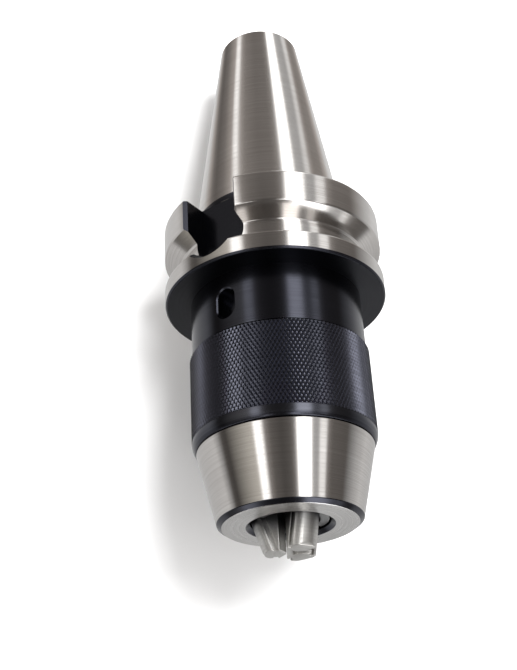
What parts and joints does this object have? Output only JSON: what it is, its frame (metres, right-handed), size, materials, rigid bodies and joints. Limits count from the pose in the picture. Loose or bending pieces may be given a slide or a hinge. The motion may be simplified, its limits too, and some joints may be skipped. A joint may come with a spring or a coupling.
{
  "type": "drill chuck",
  "caption": "Keyless three-jaw drill chuck on an integral steep-taper flanged shank, with a knurled grip sleeve that opens and closes the sloping jaws.",
  "frame": {"origin": "on the axis at the taper's gauge line, where its diameter is 44.45 mm", "axes": "+Z along the axis towards the small end of the taper (up, as the holder hangs in a vertical spindle); the two drive keyways are on -Y and +Y"},
  "size_m": [0.063, 0.063, 0.1675],
  "materials": {
    "ground_steel": "finely ground steel",
    "black_oxide": "satin black oxide on steel",
    "jaw_steel": "hardened and ground steel",
    "ball_steel": "polished bearing steel",
    "seal_rubber": "moulded nitrile rubber"
  },
  "bodies": {
    "shank": {"shank_body": "ground_steel", "thrust_collar": "ball_steel", "collar_screw_1": "black_oxide", "collar_screw_2": "black_oxide"},
    "sleeve_assembly": {"grip_sleeve": "black_oxide", "nose_cone": "ground_steel", "jaw_guide": "jaw_steel", "retaining_ring": "black_oxide", "dust_seal": "seal_rubber", "guide_pin_1": "ball_steel", "guide_pin_2": "ball_steel", "guide_pin_3": "ball_steel"},
    "drive_screw": {"drive_screw": "jaw_steel"},
    "ball_ring": {"bearing_ball_01": "ball_steel", "bearing_ball_02": "ball_steel", "bearing_ball_03": "ball_steel", "bearing_ball_04": "ball_steel", "bearing_ball_05": "ball_steel", "bearing_ball_06": "ball_steel", "bearing_ball_07": "ball_steel", "bearing_ball_08": "ball_steel", "bearing_ball_09": "ball_steel", "bearing_ball_10": "ball_steel", "bearing_ball_11": "ball_steel", "bearing_ball_12": "ball_steel", "bearing_ball_13": "ball_steel", "bearing_ball_14": "ball_steel", "bearing_ball_15": "ball_steel", "bearing_ball_16": "ball_steel", "bearing_ball_17": "ball_steel", "bearing_ball_18": "ball_steel", "bearing_ball_19": "ball_steel", "bearing_ball_20": "ball_steel", "bearing_ball_21": "ball_steel", "bearing_ball_22": "ball_steel", "bearing_ball_23": "ball_steel", "bearing_ball_24": "ball_steel"},
    "jaw_1": {"jaw_1": "jaw_steel"},
    "jaw_2": {"jaw_2": "jaw_steel"},
    "jaw_3": {"jaw_3": "jaw_steel"}
  },
  "joints": [
    {"name": "sleeve_turn", "type": "hinge", "parent": "shank", "child": "sleeve_assembly", "pos_m": [0, 0, 0], "axis": [0, 0, -1], "range_deg": [0, 2836.8]},
    {"name": "screw_slide", "type": "slide", "parent": "sleeve_assembly", "child": "drive_screw", "axis": [0, 0, 1], "range_m": [0, 0.01972]},
    {"name": "ball_ring_turn", "type": "hinge", "parent": "shank", "child": "ball_ring", "pos_m": [0, 0, 0], "axis": [0, 0, -1], "range_deg": [0, 1418.9]},
    {"name": "jaw_1_slide", "type": "slide", "parent": "sleeve_assembly", "child": "jaw_1", "axis": [0.2801, -0.1306, 0.9511], "range_m": [0, 0.02073]},
    {"name": "jaw_2_slide", "type": "slide", "parent": "sleeve_assembly", "child": "jaw_2", "axis": [-0.0269, 0.3078, 0.9511], "range_m": [0, 0.02073]},
    {"name": "jaw_3_slide", "type": "slide", "parent": "sleeve_assembly", "child": "jaw_3", "axis": [-0.2531, -0.1772, 0.9511], "range_m": [0, 0.02073]}
  ],
  "couplings": [
    {"joint": "screw_slide", "follows": "sleeve_turn", "m_per_rad": 0.00039789},
    {"joint": "ball_ring_turn", "follows": "sleeve_turn", "ratio": 0.5},
    {"joint": "jaw_1_slide", "follows": "sleeve_turn", "m_per_rad": 0.00041836},
    {"joint": "jaw_2_slide", "follows": "sleeve_turn", "m_per_rad": 0.00041836},
    {"joint": "jaw_3_slide", "follows": "sleeve_turn", "m_per_rad": 0.00041836}
  ]
}
